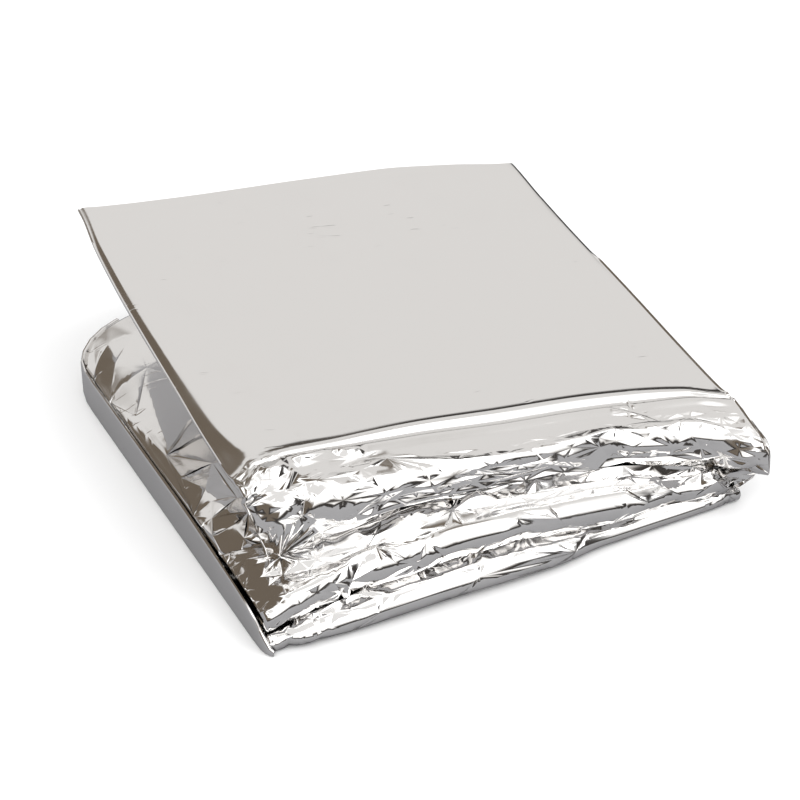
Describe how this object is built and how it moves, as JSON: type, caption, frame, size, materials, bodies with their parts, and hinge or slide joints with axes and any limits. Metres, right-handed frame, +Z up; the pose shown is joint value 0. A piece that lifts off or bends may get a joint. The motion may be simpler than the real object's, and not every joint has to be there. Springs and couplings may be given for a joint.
{
  "type": "emergency foil blanket",
  "caption": "Metallised film survival blanket folded into a flat packet, its upper leaf sprung open along crinkled front folds.",
  "frame": {"origin": "middle of the packet's outline, on the surface it lies on", "axes": "+X along the front folds towards the right, +Y from the front folds to the open back, +Z up"},
  "size_m": [0.1112, 0.1226, 0.0302],
  "materials": {
    "metallised_film": "vacuum-metallised polyester film, bright and near mirror, fine crinkles and creases along the folds"
  },
  "bodies": {
    "root": {"foil_blanket": "metallised_film"}
  },
  "joints": []
}
